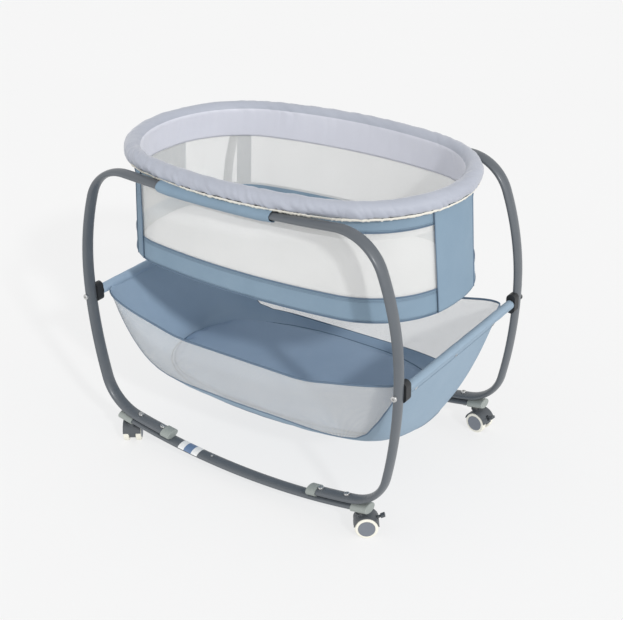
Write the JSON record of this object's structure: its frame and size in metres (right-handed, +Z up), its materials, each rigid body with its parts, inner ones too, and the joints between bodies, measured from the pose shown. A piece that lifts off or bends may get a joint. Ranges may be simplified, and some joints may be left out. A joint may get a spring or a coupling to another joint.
{
  "type": "baby crib",
  "caption": "Rocking baby crib: padded oval bassinet on two bent tube loops with curved rockers, a hanging lower basket and braked twin-wheel casters.",
  "frame": {"origin": "on the floor, under the middle of the crib", "axes": "+X along the crib, -Y is the front side, +Z up"},
  "size_m": [0.8504, 0.5562, 0.73],
  "materials": {
    "grey_tube": "satin powder coat",
    "grey_cap": "moulded",
    "bright_steel": "zinc plated",
    "spring_steel": "plain",
    "sticker": "printed film",
    "black_plastic": "moulded",
    "foam": "foam",
    "rim_satin": "satin weave",
    "blue_cloth": "oxford weave",
    "light_blue_cloth": "oxford weave",
    "white_mesh": "fine mesh",
    "board": "hardboard",
    "mattress_cloth": "quilted",
    "grey_mesh": "mesh",
    "caster_plastic": "moulded",
    "cream_tyre": "soft polyurethane",
    "hub_plastic": "moulded"
  },
  "bodies": {
    "frame": {"side_loop_front": "grey_tube", "side_loop_rear": "grey_tube", "rocker_front_long": "grey_tube", "rocker_front_short": "grey_tube", "rocker_rear_long": "grey_tube", "rocker_rear_short": "grey_tube", "loop_end_caps": "grey_cap", "rocker_end_caps": "grey_cap", "rocker_bolts": "bright_steel", "rocker_nuts": "bright_steel", "button_spring_front": "spring_steel", "button_spring_rear": "spring_steel", "stripe_sticker": "sticker", "cross_bar_left": "grey_tube", "cross_bar_right": "grey_tube", "bar_brackets": "black_plastic", "bar_bolts": "bright_steel", "rim_tube": "grey_tube", "rim_saddles": "black_plastic", "rim_screws": "bright_steel", "rim_padding": "foam", "rim_cover": "rim_satin", "top_band": "blue_cloth", "bottom_band": "blue_cloth", "mesh_wall": "white_mesh", "end_panels": "blue_cloth", "tub_floor": "blue_cloth", "floor_board": "board", "mattress": "mattress_cloth", "basket_mesh": "grey_mesh", "basket_sling": "light_blue_cloth", "basket_pad": "blue_cloth", "sleeve_snaps": "bright_steel", "caster_stems": "bright_steel"},
    "button_front": {"spring_button_front": "bright_steel"},
    "button_rear": {"spring_button_rear": "bright_steel"},
    "front_right_swivel": {"caster_front_right_hood": "caster_plastic"},
    "front_right_wheels": {"caster_front_right_tyres": "cream_tyre", "caster_front_right_hubs": "hub_plastic", "caster_front_right_axle": "bright_steel"},
    "front_right_brake": {"caster_front_right_brake_lever": "caster_plastic"},
    "front_left_swivel": {"caster_front_left_hood": "caster_plastic"},
    "front_left_wheels": {"caster_front_left_tyres": "cream_tyre", "caster_front_left_hubs": "hub_plastic", "caster_front_left_axle": "bright_steel"},
    "front_left_brake": {"caster_front_left_brake_lever": "caster_plastic"},
    "rear_right_swivel": {"caster_rear_right_hood": "caster_plastic"},
    "rear_right_wheels": {"caster_rear_right_tyres": "cream_tyre", "caster_rear_right_hubs": "hub_plastic", "caster_rear_right_axle": "bright_steel"},
    "rear_right_brake": {"caster_rear_right_brake_lever": "caster_plastic"},
    "rear_left_swivel": {"caster_rear_left_hood": "caster_plastic"},
    "rear_left_wheels": {"caster_rear_left_tyres": "cream_tyre", "caster_rear_left_hubs": "hub_plastic", "caster_rear_left_axle": "bright_steel"},
    "rear_left_brake": {"caster_rear_left_brake_lever": "caster_plastic"}
  },
  "joints": [
    {"name": "button_front_press", "type": "slide", "parent": "frame", "child": "button_front", "axis": [0, 0, -1], "range_m": [0, 0.003], "stiffness_N_per_m": 400, "springref_m": -0.002, "deforming": ["button_spring_front"]},
    {"name": "button_rear_press", "type": "slide", "parent": "frame", "child": "button_rear", "axis": [0, 0, -1], "range_m": [0, 0.003], "stiffness_N_per_m": 400, "springref_m": -0.002, "deforming": ["button_spring_rear"]},
    {"name": "front_right_swivel_turn", "type": "hinge", "parent": "frame", "child": "front_right_swivel", "pos_m": [0.325, -0.2527, 0.045], "axis": [0, 0, 1], "continuous": true},
    {"name": "front_right_wheel_spin", "type": "hinge", "parent": "front_right_swivel", "child": "front_right_wheels", "pos_m": [0.33475, -0.2457, 0.025], "axis": [0.5835, -0.8121, 0], "continuous": true},
    {"name": "front_right_brake_press", "type": "hinge", "parent": "front_right_swivel", "child": "front_right_brake", "pos_m": [0.3466, -0.23718, 0.0372], "axis": [-0.5835, 0.8121, 0], "range_deg": [0, 20]},
    {"name": "front_left_swivel_turn", "type": "hinge", "parent": "frame", "child": "front_left_swivel", "pos_m": [-0.325, -0.2527, 0.045], "axis": [0, 0, 1], "continuous": true},
    {"name": "front_left_wheel_spin", "type": "hinge", "parent": "front_left_swivel", "child": "front_left_wheels", "pos_m": [-0.332, -0.24296, 0.025], "axis": [0.8121, 0.5835, 0], "continuous": true},
    {"name": "front_left_brake_press", "type": "hinge", "parent": "front_left_swivel", "child": "front_left_brake", "pos_m": [-0.34052, -0.2311, 0.0372], "axis": [-0.8121, -0.5835, 0], "range_deg": [0, 20]},
    {"name": "rear_right_swivel_turn", "type": "hinge", "parent": "frame", "child": "rear_right_swivel", "pos_m": [0.325, 0.2527, 0.045], "axis": [0, 0, 1], "continuous": true},
    {"name": "rear_right_wheel_spin", "type": "hinge", "parent": "rear_right_swivel", "child": "rear_right_wheels", "pos_m": [0.33693, 0.25138, 0.025], "axis": [-0.1097, -0.994, 0], "continuous": true},
    {"name": "rear_right_brake_press", "type": "hinge", "parent": "rear_right_swivel", "child": "rear_right_brake", "pos_m": [0.35144, 0.24978, 0.0372], "axis": [0.1097, 0.994, 0], "range_deg": [0, 20]},
    {"name": "rear_left_swivel_turn", "type": "hinge", "parent": "frame", "child": "rear_left_swivel", "pos_m": [-0.325, 0.2527, 0.045], "axis": [0, 0, 1], "continuous": true},
    {"name": "rear_left_wheel_spin", "type": "hinge", "parent": "rear_left_swivel", "child": "rear_left_wheels", "pos_m": [-0.33628, 0.2486, 0.025], "axis": [-0.342, 0.9397, 0], "continuous": true},
    {"name": "rear_left_brake_press", "type": "hinge", "parent": "rear_left_swivel", "child": "rear_left_brake", "pos_m": [-0.35, 0.2436, 0.0372], "axis": [0.342, -0.9397, 0], "range_deg": [0, 20]}
  ]
}
